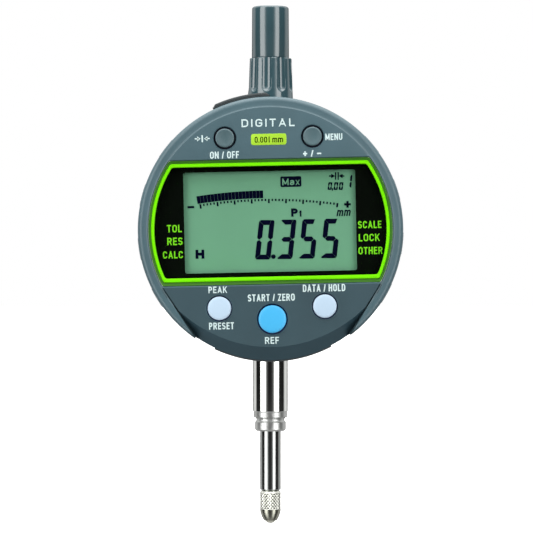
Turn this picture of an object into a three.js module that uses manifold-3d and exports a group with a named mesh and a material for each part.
// Digital dial indicator: LCD display unit that turns on a round body, with a
// spring-loaded spindle sliding through the body, its stem and a top cap.
// Millimetres, +Z up along the spindle, +X to the user's right, front faces -Y.
// Origin: middle of the stem's diameter-8 clamping length, on the spindle axis.
import * as THREE from "three";
import { mergeVertices, toCreasedNormals } from "three/addons/utils/BufferGeometryUtils.js";
import Module from "manifold-3d";

const wasm = await Module();
wasm.setup();

// ---- driving dimensions ----
const DIAL_Z = 35.3; // height of the dial centre above the origin
const DISPLAY_TURN = -1.2; // degrees the display stands turned at rest
const BEZEL_R = 29.7;
const BEZEL_WALL = 1.7;
const FACE_Y = -18.0;
const RIM_Y = -17.75;
const PLATE = 1.4; // thickness of the front face
const BEZEL_BACK_Y = -6.6;
const REAR_CASE_Y = [-7.4, -6.0];
const WINDOW_TOP = 15.66,
  WINDOW_BOTTOM = -12.24,
  WINDOW_R = 27.3;
const PANE_TOP = 14.15,
  PANE_BOTTOM = -10.48,
  PANE_R = 25.9;
const LCD = { x: 0.1, z: 1.78, w: 38.4, h: 22.6 };
const APRON_Z = -12.6; // where the sloping lower face starts
const APRON_SLOPE = 0.1; // depth gained per mm of drop
const STEM_D = 8.0;
const SPINDLE_D = 4.75;
const TRAVEL = 12.7;
const BODY_R = 26.5,
  BODY_FRONT = -5.2,
  BODY_BACK = 5.6;
const COVER_Y = [5.8, 7.6];
const CAP_TOP = 86.7,
  CAP_JOINT = 74.9,
  COLLAR_BOTTOM = 63.2;
const CONNECTOR_ANGLE = 101.65; // degrees, in the display's own frame
const BUTTONS = [
  { name: "on_off_button", sw: "on_off_switch", x: -9.78, z: 20.56, r: 2.1, gap: 0.42, colour: 0x54707a },
  { name: "menu_button", sw: "menu_switch", x: 9.78, z: 20.56, r: 2.1, gap: 0.42, colour: 0x54707a },
  { name: "preset_button", sw: "preset_switch", x: -11.78, z: -17.4, r: 2.7, gap: 0.25, colour: 0xdce6f8 },
  { name: "hold_button", sw: "hold_switch", x: 11.78, z: -17.4, r: 2.7, gap: 0.25, colour: 0xdce6f8 },
  { name: "zero_button", sw: "zero_switch", x: 0, z: -20.05, r: 3.17, gap: 0.28, colour: 0x4fb8f5 },
];
const SCREW_AT = [
  [17.6, 17.75],
  [-17.6, 17.75],
  [-17.6, -17.6],
  [17.6, -17.6],
];
const COVER_SCREW_AT = [
  [15.6, 15.6],
  [-15.6, 15.6],
  [-15.6, -15.6],
  [15.6, -15.6],
];

// ---- geometry helpers ----
function toSolid(geometry) {
  const g = geometry.index ? geometry.toNonIndexed() : geometry.clone();
  const bare = new THREE.BufferGeometry().setAttribute("position", g.getAttribute("position"));
  const m = mergeVertices(bare, 1e-4);
  const idx = [];
  const a = m.index.array;
  for (let i = 0; i < a.length; i += 3)
    if (a[i] !== a[i + 1] && a[i + 1] !== a[i + 2] && a[i] !== a[i + 2]) idx.push(a[i], a[i + 1], a[i + 2]);
  const make = (t) =>
    new wasm.Manifold(
      new wasm.Mesh({ numProp: 3, vertProperties: new Float32Array(m.attributes.position.array), triVerts: new Uint32Array(t) }),
    );
  let s = make(idx);
  if (s.volume() < 0) {
    for (let i = 0; i < idx.length; i += 3) [idx[i + 1], idx[i + 2]] = [idx[i + 2], idx[i + 1]];
    s = make(idx);
  }
  return s;
}
function toGeometry(s) {
  const m = s.getMesh();
  const g = new THREE.BufferGeometry();
  const v = new Float32Array(m.numVert * 3);
  for (let i = 0; i < m.numVert; i++) v.set(m.vertProperties.subarray(i * m.numProp, i * m.numProp + 3), i * 3);
  g.setAttribute("position", new THREE.BufferAttribute(v, 3));
  g.setIndex(new THREE.BufferAttribute(new Uint32Array(m.triVerts), 1));
  return toCreasedNormals(g, 0.55);
}
const RAD = Math.PI / 180;
// Turned about the Y axis: profile of [radius, y].
function turnY(profile, segments = 48) {
  return toSolid(new THREE.LatheGeometry(profile.map(([r, y]) => new THREE.Vector2(r, y)), segments));
}
// Turned about the Z axis: profile of [radius, z].
function turnZ(profile, segments = 32) {
  const g = new THREE.LatheGeometry(profile.map(([r, z]) => new THREE.Vector2(r, z)), segments);
  g.rotateX(Math.PI / 2);
  return toSolid(g);
}
function ringY(r0, r1, y0, y1, segments = 48) {
  return turnY([[r0, y0], [r1, y0], [r1, y1], [r0, y1], [r0, y0]], segments);
}
function discY(r, y0, y1, segments = 32) {
  return turnY([[0, y0], [r, y0], [r, y1], [0, y1]], segments);
}
function tubeZ(r0, r1, z0, z1, segments = 32) {
  return turnZ([[r0, z0], [r1, z0], [r1, z1], [r0, z1], [r0, z0]], segments);
}
function rodZ(r, z0, z1, segments = 32) {
  return turnZ([[0, z0], [r, z0], [r, z1], [0, z1]], segments);
}
function box(x0, x1, y0, y1, z0, z1) {
  const g = new THREE.BoxGeometry(x1 - x0, y1 - y0, z1 - z0);
  g.translate((x0 + x1) / 2, (y0 + y1) / 2, (z0 + z1) / 2);
  return toSolid(g);
}
// Outline of [x, z] points pushed through from y0 to y1.
function plate(points, y0, y1, holes = []) {
  const shape = new THREE.Shape(points.map(([x, z]) => new THREE.Vector2(x, z)));
  for (const h of holes) shape.holes.push(new THREE.Path(h.map(([x, z]) => new THREE.Vector2(x, z))));
  const g = new THREE.ExtrudeGeometry(shape, { depth: y1 - y0, bevelEnabled: false, steps: 1 });
  g.rotateX(Math.PI / 2);
  g.translate(0, y1, 0);
  return toSolid(g);
}
function discAt(x, z, r, y0, y1, segments = 24) {
  return discY(r, y0, y1, segments).translate([x, 0, z]);
}
// Two chords joined by two arcs about the centre, grown outwards by d.
function windowOutline(top, bottom, r, d = 0, n = 11) {
  const t = top + d,
    b = bottom - d,
    R = r + d;
  const at = Math.asin(t / R),
    ab = Math.asin(b / R);
  const pts = [];
  for (let i = 0; i <= n; i++) {
    const a = ab + ((at - ab) * i) / n;
    pts.push([R * Math.cos(a), R * Math.sin(a)]);
  }
  for (let i = n; i >= 0; i--) {
    const a = ab + ((at - ab) * i) / n;
    pts.push([-R * Math.cos(a), R * Math.sin(a)]);
  }
  return pts;
}
function roundRect(cx, cz, w, h, r, n = 4) {
  const pts = [];
  for (const [sx, sz, a0] of [[1, 1, 0], [-1, 1, 90], [-1, -1, 180], [1, -1, 270]])
    for (let i = 0; i <= n; i++) {
      const a = (a0 + (90 * i) / n) * RAD;
      pts.push([cx + sx * (w / 2 - r) + r * Math.cos(a), cz + sz * (h / 2 - r) + r * Math.sin(a)]);
    }
  return pts;
}
// Prism with a cross-section of [y, z] points from x0 to x1.
function prismX(points, x0, x1) {
  const shape = new THREE.Shape(points.map(([y, z]) => new THREE.Vector2(y, z)));
  const g = new THREE.ExtrudeGeometry(shape, { depth: x1 - x0, bevelEnabled: false, steps: 1 });
  // shape x -> y, shape y -> z, depth -> x
  g.applyMatrix4(new THREE.Matrix4().set(0, 0, 1, x0, 1, 0, 0, 0, 0, 1, 0, 0, 0, 0, 0, 1));
  return toSolid(g);
}
// Wedge of a ring about Y between two angles (degrees, 0 = +X, 90 = +Z).
function arcRing(r0, r1, a0, a1, y0, y1, n = 10) {
  const pts = [];
  for (let i = 0; i <= n; i++) {
    const a = (a0 + ((a1 - a0) * i) / n) * RAD;
    pts.push([r1 * Math.cos(a), r1 * Math.sin(a)]);
  }
  for (let i = n; i >= 0; i--) {
    const a = (a0 + ((a1 - a0) * i) / n) * RAD;
    pts.push([r0 * Math.cos(a), r0 * Math.sin(a)]);
  }
  return plate(pts, y0, y1);
}
// Triangles given as corner positions, made one solid.
function solidFrom(tris) {
  const g = new THREE.BufferGeometry();
  g.setAttribute("position", new THREE.Float32BufferAttribute(tris.flat(2), 3));
  return toSolid(g);
}
// Six-sided block from its eight corners: four round one end, then the four facing them.
function hexa(p) {
  const quads = [[3, 2, 1, 0], [4, 5, 6, 7], [0, 1, 5, 4], [1, 2, 6, 5], [2, 3, 7, 6], [3, 0, 4, 7]];
  return solidFrom(quads.flatMap(([a, b, c, d]) => [[p[a], p[b], p[c]], [p[a], p[c], p[d]]]));
}
// Cylinder along Y whose centre climbs from z0 at y0 to z1 at y1.
function slantedY(r, y0, z0, y1, z1, n) {
  const ring = (y, z) => Array.from({ length: n }, (_, i) => {
    const a = (i / n) * Math.PI * 2;
    return [r * Math.cos(a), y, z + r * Math.sin(a)];
  });
  const p = ring(y0, z0), q = ring(y1, z1), c = [0, y0, z0], d = [0, y1, z1], t = [];
  for (let i = 0; i < n; i++) {
    const j = (i + 1) % n;
    t.push([p[i], p[j], q[j]], [p[i], q[j], q[i]], [c, p[j], p[i]], [d, q[i], q[j]]);
  }
  return solidFrom(t);
}
// Turns a solid made round angle 90 (top) to another angle about Y, 0 = +X, 90 = +Z.
const turned = (s, angle) => s.rotate([0, 90 - angle, 0]);

const all = new THREE.Group();
all.name = "digital_dial_indicator";
const display = new THREE.Group();
display.name = "display_unit";
display.position.set(0, 0, DIAL_Z);
display.rotation.y = DISPLAY_TURN * RAD;
all.add(display);

function add(parent, name, s, color, roughness = 0.5, metalness = 0, extra = {}) {
  const mesh = new THREE.Mesh(
    toGeometry(s),
    new THREE.MeshStandardMaterial({ color, roughness, metalness, ...extra }),
  );
  mesh.name = name;
  parent.add(mesh);
}

// ================= display unit (turned frame, origin at the dial centre) =================
const innerY = (z) => FACE_Y + PLATE + APRON_SLOPE * Math.max(0, APRON_Z - z);

{
  // Outer form: flat face, fine step, rim, rounded edge, straight side.
  const R = BEZEL_R;
  const outer = turnY(
    [
      [0, FACE_Y],
      [27.45, FACE_Y],
      [27.62, RIM_Y],
      [28.6, RIM_Y + 0.05],
      [R - 0.55, RIM_Y + 0.35],
      [R - 0.12, RIM_Y + 0.85],
      [R, RIM_Y + 1.5],
      [R, BEZEL_BACK_Y - 0.5],
      [R - 0.5, BEZEL_BACK_Y],
      [0, BEZEL_BACK_Y],
    ],
    80,
  );
  // Sloping lower face, drafted side walls at the two ends of the raised rim.
  const sideX = (z, y) => (27.567 - Math.tan(16 * RAD) * (y + 17.7) + 0.5167 * z) / 0.856;
  const recess = (z0, y0, z1, y1) =>
    hexa([
      [-sideX(z0, y0), y0, z0], [sideX(z0, y0), y0, z0], [sideX(z0, -21), -21, z0], [-sideX(z0, -21), -21, z0],
      [-sideX(z1, y1), y1, z1], [sideX(z1, y1), y1, z1], [sideX(z1, -21), -21, z1], [-sideX(z1, -21), -21, z1],
    ]);
  const apron = recess(APRON_Z, FACE_Y, -34, FACE_Y + APRON_SLOPE * (APRON_Z + 34));
  // Steeper bevel along the bottom edge: the rim's circle carried back and up.
  const bevel = recess(-12.0, -12.0, -34, -12.0).subtract(slantedY(31.6, -23, 10.71, -10, -0.34, 96));
  let s = outer.subtract(apron).subtract(bevel);
  // The bottom edge stands a little inside the rim.
  s = s.subtract(arcRing(29.4, 32, 270 - 36, 270 + 36, -20, -6, 24));
  // Inside: follows the outside one plate thickness in.
  let pocket = discY(R - BEZEL_WALL, FACE_Y + PLATE, -3, 80);
  const keepSlope = prismX(
    [
      [FACE_Y, APRON_Z],
      [FACE_Y + PLATE, APRON_Z],
      [FACE_Y + PLATE + APRON_SLOPE * (APRON_Z + 32), -32],
      [FACE_Y, -32],
    ],
    -30,
    30,
  );
  const keepBevel = box(-31, 31, -22, -4, -33, -14).subtract(slantedY(31.6, -23, 12.325, -3.5, -4.25, 64));
  pocket = pocket.subtract(keepSlope).subtract(keepBevel);
  s = s.subtract(pocket);
  // Bosses for the rear-case screws.
  for (const [x, z] of SCREW_AT)
    s = s.add(discAt(x, z, 1.75, FACE_Y + 0.9, -7.8, 16)).subtract(discAt(x, z, 0.95, -13.5, -7, 12));
  // Window opening and button holes.
  s = s.subtract(plate(windowOutline(WINDOW_TOP, WINDOW_BOTTOM, WINDOW_R, 0.3), FACE_Y - 1, -15));
  for (const b of BUTTONS) s = s.subtract(discAt(b.x, b.z, b.r + b.gap, FACE_Y - 2, -14.5, 32));
  // Battery slot in the lower wall and output opening in the upper wall.
  s = s.subtract(box(-13.5, 13.5, -12.6, -8.3, -32, -25));
  s = s.subtract(turned(box(-5.0, 5.0, -12.3, -8.2, 25, 32), CONNECTOR_ANGLE));
  // Knurled grip pads on both sides of the rim.
  for (const a of [38.9, 16.3, -7.3, -30])
    for (const side of [a, 180 - a]) s = s.add(arcRing(R - 0.6, R + 0.2, side - 5, side + 5, -15.6, -8.2, 4));
  add(display, "display_bezel", s, 0x54707a, 0.5, 0.25);
}
{
  const outerPts = windowOutline(WINDOW_TOP, WINDOW_BOTTOM, WINDOW_R);
  const innerPts = windowOutline(PANE_TOP, PANE_BOTTOM, PANE_R);
  const ledgePts = windowOutline(PANE_TOP, PANE_BOTTOM, PANE_R, 0.45);
  let s = plate(outerPts, -18.15, -15.7, [innerPts]);
  s = s.subtract(plate(ledgePts, -17.2, -15));
  add(display, "window_frame", s, 0x74e008, 0.35, 0);
}
add(display, "window_lens", plate(windowOutline(PANE_TOP, PANE_BOTTOM, PANE_R, 0.12), -17.1, -16.1), 0x9fb5b0, 0.08, 0, {
  transparent: true,
  opacity: 0.25,
});
add(
  display,
  "mask_plate",
  plate(windowOutline(PANE_TOP, PANE_BOTTOM, PANE_R, 0.12), -16.0, -15.7, [roundRect(LCD.x, LCD.z, LCD.w, LCD.h, 0.6)]),
  0x0b0f0b,
  0.6,
);
add(display, "lcd_cell", box(LCD.x - 20.4, LCD.x + 20.4, -15.6, -14.5, LCD.z - 12.3, LCD.z + 12.3), 0x7ab090, 0.25);
add(display, "lcd_reflector", box(LCD.x - 19.4, LCD.x + 19.4, -14.45, -13.75, LCD.z - 9.6, LCD.z + 9.6), 0xe8ece6, 0.5);
add(display, "contact_strip_top", box(-18, 18, -14.45, -13.65, LCD.z + 10.1, LCD.z + 11.9), 0xb8557a, 0.8);
add(display, "contact_strip_bottom", box(-18, 18, -14.45, -13.65, LCD.z - 11.9, LCD.z - 10.1), 0xb8557a, 0.8);
{
  let s = discY(25.4, -13.6, -12.6, 48);
  for (const [x, z] of SCREW_AT) s = s.subtract(discAt(x, z, 2.15, -15, -11, 16));
  add(display, "main_circuit_board", s, 0x1e6b3a, 0.5);
}
add(display, "processor_chip", box(-4.5, 4.5, -12.55, -11.3, 3.5, 12.5), 0x1a1c1f, 0.5);
add(display, "timing_crystal", box(7.5, 14, -12.55, -10.9, 8, 10.4), 0xb9bcc0, 0.3, 0.8);
for (const b of BUTTONS) {
  // Square body with a round dome.
  const s = box(b.x - 1.8, b.x + 1.8, -14.05, -13.65, b.z - 1.8, b.z + 1.8).add(
    discAt(b.x, b.z, 1.0, -14.2, -13.9, 12),
  );
  add(display, b.sw, s, 0xc4c6c8, 0.35, 0.7);
}
for (const b of BUTTONS) {
  const front = b.z > 0 ? -18.3 : innerY(b.z) - PLATE - 0.35;
  const s = turnY(
    [
      [0, front - 0.05],
      [b.r - 0.6, front],
      [b.r - 0.12, front + 0.16],
      [b.r, front + 0.45],
      [b.r, -15.3],
      [b.r + 0.6, -15.3],
      [b.r + 0.6, -14.95],
      [1.0, -14.95],
      [1.0, -14.85],
      [0, -14.85],
    ],
    20,
  ).translate([b.x, 0, b.z]);
  add(display, b.name, s, b.colour, 0.4);
}
add(
  display,
  "battery_contact_negative",
  box(-2.5, 2.5, -12.55, -12.35, -22, -12).add(box(-2.5, 2.5, -12.4, -12.2, -17.5, -15.5)),
  0xcfc7a0,
  0.3,
  0.9,
);
add(
  display,
  "battery_contact_positive",
  box(-4, 4, -12.55, -12.35, -5.9, -3).add(box(-4, 4, -12.4, -9.2, -6.0, -5.7)),
  0xcfc7a0,
  0.3,
  0.9,
);
{
  const s = box(-4.4, 4.4, -12.2, -8.5, 21.5, 27.6).subtract(box(-3.6, 3.6, -11.5, -9.2, 23.2, 29));
  add(display, "data_socket", turned(s, CONNECTOR_ANGLE), 0x1b1d1f, 0.6);
}
{
  // Flange outside the wall, plug inside it.
  const flange = arcRing(29.95, 30.85, 90 - 12.6, 90 + 12.6, -13.4, -7.3, 8);
  const plug = box(-4.7, 4.7, -12.0, -8.5, 28.0, 30.3);
  add(display, "connector_cap", turned(flange.add(plug), CONNECTOR_ANGLE), 0x1e2b30, 0.75);
}
{
  let s = turnY(
    [
      [15.35, REAR_CASE_Y[0]],
      [27.65, REAR_CASE_Y[0]],
      [27.65, REAR_CASE_Y[1]],
      [15.35, REAR_CASE_Y[1]],
      [15.35, REAR_CASE_Y[0]],
    ],
    56,
  );
  for (const [x, z] of SCREW_AT) {
    const hole = turnY([[0, -8], [1.25, -8], [1.25, -7.0], [2.3, -5.9], [2.3, -5], [0, -5]], 16);
    s = s.subtract(hole.translate([x, 0, z]));
  }
  add(display, "display_rear_case", s, 0x2f3d43, 0.6);
}
SCREW_AT.forEach(([x, z], i) => {
  let s = turnY(
    [
      [0, -12.4],
      [0.8, -12.0],
      [0.8, -7.05],
      [1.85, -6.25],
      [1.85, -6.12],
      [0, -6.12],
    ],
    12,
  );
  s = s.subtract(box(-0.3, 0.3, -6.6, -6, -1.2, 1.2)).subtract(box(-1.2, 1.2, -6.6, -6, -0.3, 0.3));
  add(display, "rear_case_screw_" + (i + 1), s.translate([x, 0, z]), 0x8e9296, 0.35, 0.9);
});
{
  // Lid filling the slot in the rim, with two rails either side of the cell.
  const lid = plate(
    [
      ...Array.from({ length: 13 }, (_, i) => {
        const a = (270 - 26.2 + (52.4 * i) / 12) * RAD;
        return [29.78 * Math.cos(a), 29.78 * Math.sin(a)];
      }),
      [13.1, -25.6],
      [-13.1, -25.6],
    ],
    -12.3,
    -8.6,
  );
  let s = lid.add(box(-12.1, -10.6, -12.0, -8.9, -26.5, -8)).add(box(10.6, 12.1, -12.0, -8.9, -26.5, -8));
  s = s.subtract(turnY([[0, -13], [10.35, -13], [10.35, -7], [0, -7]], 40).translate([0, 0, -16.4]));
  add(display, "battery_tray", s, 0x1c2528, 0.6);
}
add(
  display,
  "coin_cell",
  turnY([[0, -12.0], [8.7, -12.0], [8.7, -11.8], [9.85, -11.7], [9.85, -9.1], [9.6, -8.9], [0, -8.9]], 28).translate([0, 0, -16.4]),
  0xc9ccce,
  0.25,
  0.95,
);

// ================= fixed body =================
{
  let s = turnY(
    [
      [0, BODY_FRONT],
      [BODY_R - 0.6, BODY_FRONT],
      [BODY_R, BODY_FRONT + 0.6],
      [BODY_R, BODY_BACK],
      [0, BODY_BACK],
    ],
    48,
  ).translate([0, 0, DIAL_Z]);
  s = s.add(rodZ(5.4, 56, 62.9, 32)).add(rodZ(5.4, 6.3, 14, 32));
  s = s.subtract(box(-12, 12, -3.6, BODY_BACK + 1, 16.3, 54.3));
  s = s.subtract(rodZ(4.05, 50, 70, 32)).subtract(rodZ(4.12, 0, 18, 32));
  s = s.subtract(discAt(0, DIAL_Z + 6, 2.6, -7, -3, 20)); // passage for the ribbon cable
  for (const [x, z] of COVER_SCREW_AT) s = s.subtract(discAt(x, z + DIAL_Z, 1.0, 1.5, 7, 12));
  add(all, "main_body", s, 0x3d4d54, 0.5, 0.3);
}
add(
  all,
  "stem",
  turnZ(
    [
      [3.25, 15.9],
      [3.25, -6.1],
      [2.6, -6.2],
      [2.6, -10.75],
      [3.25, -10.75],
      [3.55, -10.4],
      [3.55, -8.75],
      [3.2, -8.55],
      [3.2, -7.75],
      [3.825, -7.6],
      [3.825, -6.35],
      [STEM_D / 2, -6.2],
      [STEM_D / 2, 15.9],
      [3.25, 15.9],
    ],
    28,
  ),
  0xc6c9cc,
  0.2,
  1,
);
add(all, "lower_guide_bushing", tubeZ(2.43, 3.2, -6.0, 8, 28), 0xb08d4a, 0.35, 0.9);
add(
  all,
  "upper_guide_bushing",
  turnZ([[2.43, 54.7], [3.98, 54.7], [3.98, 63.4], [3.5, 63.6], [3.5, 66.0], [2.43, 66.0], [2.43, 54.7]], 28),
  0xb08d4a,
  0.35,
  0.9,
);
add(
  all,
  "bearing_hub",
  turnY([[11, BODY_FRONT - 0.02], [15, BODY_FRONT - 0.02], [15, -7.5], [13, -7.5], [13, -8.3], [11, -8.3], [11, BODY_FRONT - 0.02]], 40).translate([
    0, 0, DIAL_Z,
  ]),
  0xb9bcbf,
  0.3,
  0.9,
);
{
  let s = ringY(13.1, 17, -8.3, -7.6, 40);
  s = s.subtract(box(-1, 1, -9, -7, 15.8, 18)).subtract(box(-1, 1, -9, -7, -18, -15.8));
  add(all, "retaining_nut", s.translate([0, 0, DIAL_Z]), 0x9fa3a6, 0.35, 0.9);
}
{
  const prof = [];
  for (let i = 0; i <= 6; i++) {
    const a = (i / 6) * Math.PI * 2;
    prof.push([20 + 0.32 * Math.cos(a), -5.6 + 0.32 * Math.sin(a)]);
  }
  prof[6] = prof[0].slice();
  add(all, "friction_o_ring", turnY(prof, 36).translate([0, 0, DIAL_Z]), 0x15181a, 0.9);
}
add(all, "encoder_board", box(3.6, 11.5, -3.4, -2.8, 24, 52), 0x1e6b3a, 0.5);
add(all, "encoder_chip", box(5.0, 10.6, -2.75, -1.7, 32.5, 39.5), 0x1a1c1f, 0.5);
{
  const s = box(-11.7, -7.2, -3.3, 3.3, 16.6, 54.0).subtract(box(-9.6, -6, -1.2, 1.2, 18.5, 52.5));
  add(all, "guide_rail", s, 0x8f949a, 0.35, 0.9);
}
add(all, "bump_stop", tubeZ(2.7, 3.4, 16.4, 19.8, 24), 0x1a1a1a, 0.9);
{
  // Ribbon cable coiled in the hub so that the display can turn.
  const n = 30,
    pts = [],
    back = [];
  for (let i = 0; i <= n; i++) {
    const t = i / n,
      a = t * Math.PI * 2 * 1.6 + 1.2,
      r = 3.6 + 5.6 * t;
    pts.push([r * Math.cos(a), r * Math.sin(a)]);
    back.unshift([(r + 0.25) * Math.cos(a), (r + 0.25) * Math.sin(a)]);
  }
  add(all, "sensor_ribbon_cable", plate([...pts, ...back], -8.9, -5.6).translate([0, 0, DIAL_Z]), 0xb9772c, 0.5);
}
{
  let s = turnY([[0, COVER_Y[0]], [26.2, COVER_Y[0]], [26.2, 7.1], [25.7, COVER_Y[1]], [0, COVER_Y[1]]], 48);
  for (const [x, z] of COVER_SCREW_AT)
    s = s.subtract(turnY([[0, 5], [1.3, 5], [1.3, 6.2], [2.6, 7.65], [2.6, 9], [0, 9]], 16).translate([x, 0, z]));
  add(all, "back_cover", s.translate([0, 0, DIAL_Z]), 0x34444b, 0.55, 0.2);
}
COVER_SCREW_AT.forEach(([x, z], i) => {
  let s = turnY([[0, 1.8], [0.8, 2.1], [0.8, 6.1], [2.05, 7.25], [2.05, 7.4], [0, 7.4]], 12);
  s = s.subtract(box(-0.3, 0.3, 6.8, 8, -1.3, 1.3)).subtract(box(-1.3, 1.3, 6.8, 8, -0.3, 0.3));
  add(all, "cover_screw_" + (i + 1), s.translate([x, 0, z + DIAL_Z]), 0x8e9296, 0.35, 0.9);
});
{
  // Coil spring round the spindle, with closed flat ends.
  const z0 = 28.55,
    z1 = 53.75,
    turns = 7;
  class Coil extends THREE.Curve {
    getPoint(t, target = new THREE.Vector3()) {
      const a = t * turns * 2 * Math.PI;
      return target.set(3.05 * Math.cos(a), 3.05 * Math.sin(a), z0 + 0.35 + (z1 - z0 - 0.7) * t);
    }
  }
  const w = new THREE.Shape();
  for (let i = 0; i < 5; i++) {
    const a = (i / 5) * Math.PI * 2;
    if (i) w.lineTo(0.3 * Math.cos(a), 0.3 * Math.sin(a));
    else w.moveTo(0.3, 0);
  }
  w.closePath();
  const g = new THREE.ExtrudeGeometry(w, { steps: turns * 10, bevelEnabled: false, extrudePath: new Coil() });
  add(all, "return_spring", toSolid(g), 0xd4d6d8, 0.25, 1);
}

// ================= spindle group =================
add(
  all,
  "spindle",
  turnZ(
    [
      [0, -20.0],
      [1.35, -20.0],
      [1.35, -24.4],
      [2.15, -24.4],
      [SPINDLE_D / 2, -24.15],
      [SPINDLE_D / 2, 71.5],
      [2.0, 72.0],
      [0, 72.0],
    ],
    32,
  ),
  0xcfd2d4,
  0.15,
  1,
);
{
  let s = box(-4.6, 4.6, -2.0, 4.2, 20.0, 28.2).add(box(4.3, 9.8, -0.4, 0.9, 20.0, 40.2));
  s = s.add(box(2.6, 4.6, -0.4, 3.0, 20, 28));
  s = s.subtract(rodZ(2.45, 10, 45, 28));
  s = s.subtract(box(-5, -4, -1.4, 1.4, 25, 29)).subtract(discAt(0, 24, 0.9, 2, 6, 12));
  add(all, "scale_carrier", s, 0xa9adb1, 0.4, 0.8);
}
add(all, "encoder_scale", box(4.6, 9.4, -1.3, -0.45, 20.4, 39.8), 0x2d4a55, 0.2);
{
  let s = turnY([[0, 2.6], [0.7, 2.8], [0.7, 4.25], [1.5, 4.25], [1.5, 5.1], [0, 5.1]], 16);
  s = s.subtract(box(-0.25, 0.25, 4.6, 6, -1.1, 1.1));
  add(all, "carrier_clamp_screw", s.translate([0, 0, 24]), 0x6e7276, 0.4, 0.9);
}
{
  const s = rodZ(1.0, -8.9, -4.1, 20).rotate([0, 90, 0]).translate([0, 0, 27]);
  add(all, "anti_rotation_pin", s, 0xb4b7ba, 0.25, 1);
}
{
  let s = turnZ(
    [
      [0, -20.4],
      [1.25, -20.4],
      [1.25, -24.5],
      [1.85, -24.5],
      [2.2, -24.75],
      [2.385, -25.2],
      [2.385, -28.8],
      [2.28, -29.5],
      [2.02, -30.3],
      [1.475, -31.3],
      [0, -31.3],
    ],
    20,
  );
  const ball = new THREE.SphereGeometry(1.5, 16, 10);
  s = s.subtract(toSolid(ball.translate(0, 0, -30.55)));
  add(all, "contact_point", s, 0xb9bcbe, 0.3, 1);
}
add(all, "contact_ball", toSolid(new THREE.SphereGeometry(1.45, 16, 10).translate(0, 0, -30.55)), 0xb9a98a, 0.25, 0.3);

// ================= top cap =================
{
  let s = turnZ(
    [
      [4.15, COLLAR_BOTTOM],
      [5.0, COLLAR_BOTTOM],
      [5.25, COLLAR_BOTTOM + 0.3],
      [4.85, CAP_JOINT - 0.3],
      [4.7, CAP_JOINT],
      [3.55, CAP_JOINT],
      [3.55, 67.2],
      [4.15, 66.6],
      [4.15, COLLAR_BOTTOM],
    ],
    36,
  );
  for (let i = 0; i < 9; i++) {
    const a = (-50 + 40 * i - 90) * RAD;
    const flute = rodZ(1.0, 65.2, 80, 10).translate([5.55 * Math.cos(a), 5.55 * Math.sin(a), 0]);
    s = s.subtract(flute);
  }
  add(all, "fluted_collar", s, 0x33454c, 0.35);
}
add(
  all,
  "spindle_cap",
  turnZ(
    [
      [3.05, 73.0],
      [3.45, 73.0],
      [3.45, CAP_JOINT + 0.1],
      [4.3, CAP_JOINT + 0.1],
      [4.2, CAP_TOP - 0.55],
      [4.05, CAP_TOP - 0.15],
      [3.65, CAP_TOP],
      [0, CAP_TOP],
      [0, CAP_TOP - 1.1],
      [3.2, CAP_TOP - 1.1],
      [3.2, CAP_JOINT + 0.4],
      [3.05, CAP_JOINT + 0.1],
      [3.05, 73.0],
    ],
    36,
  ),
  0x33454c,
  0.3,
);

export default all;
